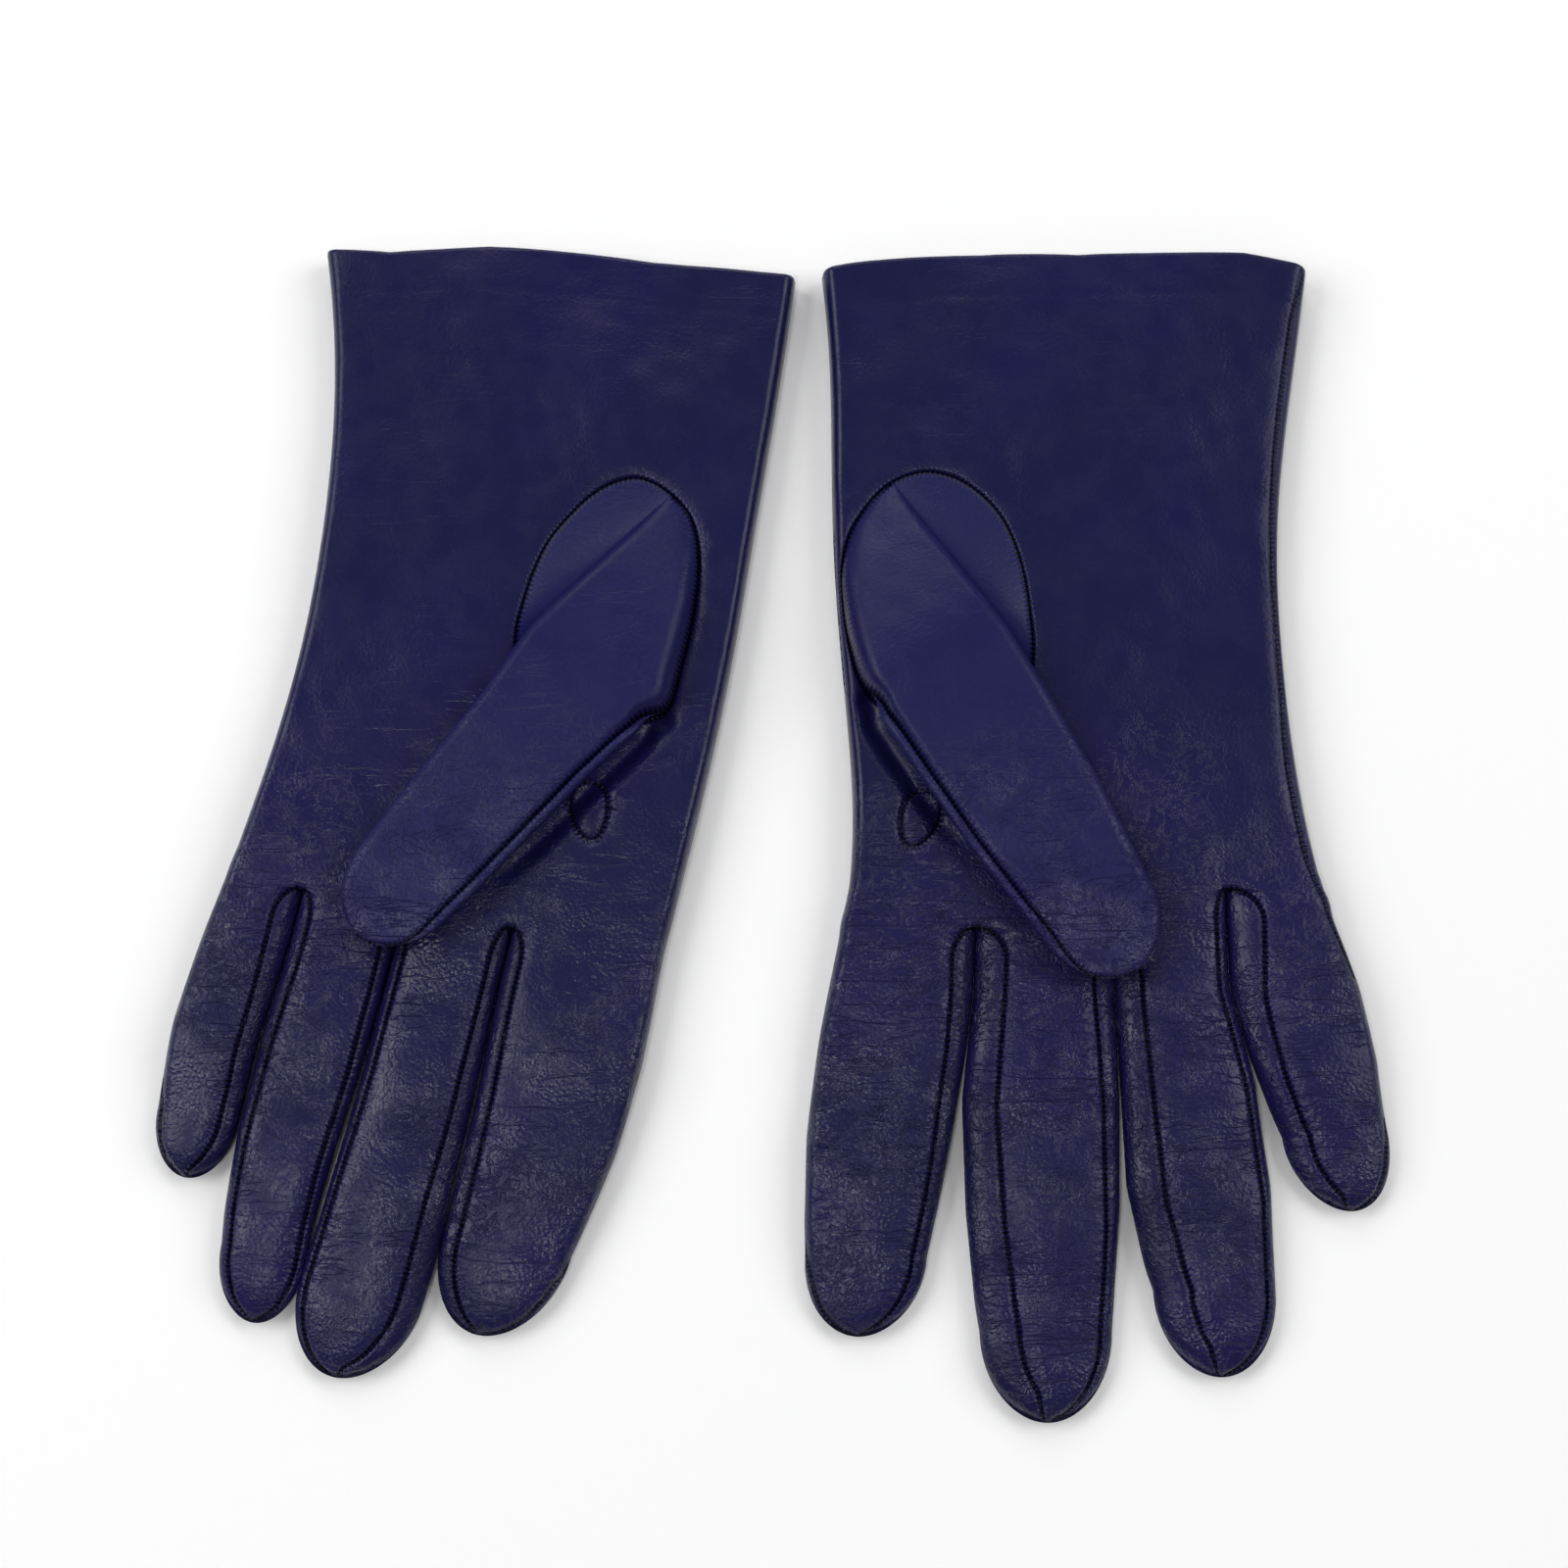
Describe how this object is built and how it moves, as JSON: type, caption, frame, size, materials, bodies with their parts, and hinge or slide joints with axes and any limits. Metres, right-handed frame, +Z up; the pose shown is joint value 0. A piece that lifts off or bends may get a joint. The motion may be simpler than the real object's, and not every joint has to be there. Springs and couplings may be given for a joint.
{
  "type": "leather driving gloves",
  "caption": "Wrist-length leather gloves for the left and right hand, lying palm up with the thumbs folded across the palms and sewn side strips between the fingers.",
  "frame": {"origin": "centre of the pair, on the surface the gloves lie on", "axes": "+Z up out of the palms, +Y from the fingertips to the cuffs, +X from the left glove to the right glove"},
  "size_m": [0.2405, 0.2361, 0.0164],
  "materials": {
    "leather_navy": "soft nappa grain, satin"
  },
  "bodies": {
    "left_hand": {"left_trank": "leather_navy", "left_cuff_hem": "leather_navy", "left_thumb_base": "leather_navy", "left_thumb_quirk": "leather_navy"},
    "left_index": {"left_index_finger": "leather_navy", "left_index_fourchette_middle": "leather_navy"},
    "left_middle": {"left_middle_finger": "leather_navy", "left_middle_fourchette_ring": "leather_navy", "left_middle_fourchette_index": "leather_navy"},
    "left_ring": {"left_ring_finger": "leather_navy", "left_ring_fourchette_little": "leather_navy", "left_ring_fourchette_middle": "leather_navy"},
    "left_little": {"left_little_finger": "leather_navy", "left_little_fourchette_ring": "leather_navy"},
    "left_thumb": {"left_thumb": "leather_navy"},
    "right_hand": {"right_trank": "leather_navy", "right_cuff_hem": "leather_navy", "right_thumb_base": "leather_navy", "right_thumb_quirk": "leather_navy"},
    "right_little": {"right_little_finger": "leather_navy", "right_little_fourchette_ring": "leather_navy"},
    "right_ring": {"right_ring_finger": "leather_navy", "right_ring_fourchette_middle": "leather_navy", "right_ring_fourchette_little": "leather_navy"},
    "right_middle": {"right_middle_finger": "leather_navy", "right_middle_fourchette_index": "leather_navy", "right_middle_fourchette_ring": "leather_navy"},
    "right_index": {"right_index_finger": "leather_navy", "right_index_fourchette_middle": "leather_navy"},
    "right_thumb": {"right_thumb": "leather_navy"}
  },
  "joints": [
    {"name": "left_index_flex", "type": "hinge", "parent": "left_hand", "child": "left_index", "pos_m": [-0.03645, -0.02853, 0.0084], "axis": [-0.9744, 0.225, 0], "range_deg": [0, 75]},
    {"name": "left_middle_flex", "type": "hinge", "parent": "left_hand", "child": "left_middle", "pos_m": [-0.06423, -0.03238, 0.0084], "axis": [-0.9744, 0.225, 0], "range_deg": [0, 75]},
    {"name": "left_ring_flex", "type": "hinge", "parent": "left_hand", "child": "left_ring", "pos_m": [-0.08469, -0.02766, 0.0084], "axis": [-0.9744, 0.225, 0], "range_deg": [0, 75]},
    {"name": "left_little_flex", "type": "hinge", "parent": "left_hand", "child": "left_little", "pos_m": [-0.10008, -0.01384, 0.0084], "axis": [-0.9744, 0.225, 0], "range_deg": [0, 75]},
    {"name": "left_thumb_swing", "type": "hinge", "parent": "left_hand", "child": "left_thumb", "pos_m": [-0.036, 0.027, 0.0164], "axis": [-0.7604, 0.6494, 0], "range_deg": [0, 110]},
    {"name": "right_glove_lift", "type": "slide", "parent": "left_hand", "child": "right_hand", "axis": [0, 0, 1], "range_m": [0, 0.25]},
    {"name": "right_little_flex", "type": "hinge", "parent": "right_hand", "child": "right_little", "pos_m": [0.1002, -0.02, 0.0084], "axis": [-1, 0, 0], "range_deg": [0, 75]},
    {"name": "right_ring_flex", "type": "hinge", "parent": "right_hand", "child": "right_ring", "pos_m": [0.0789, -0.035, 0.0084], "axis": [-1, 0, 0], "range_deg": [0, 75]},
    {"name": "right_middle_flex", "type": "hinge", "parent": "right_hand", "child": "right_middle", "pos_m": [0.0538, -0.035, 0.0084], "axis": [-1, 0, 0], "range_deg": [0, 75]},
    {"name": "right_index_flex", "type": "hinge", "parent": "right_hand", "child": "right_index", "pos_m": [0.0271, -0.024, 0.0084], "axis": [-1, 0, 0], "range_deg": [0, 75]},
    {"name": "right_thumb_swing", "type": "hinge", "parent": "right_hand", "child": "right_thumb", "pos_m": [0.034, 0.028, 0.0164], "axis": [-0.8508, -0.5255, 0], "range_deg": [0, 110]}
  ]
}
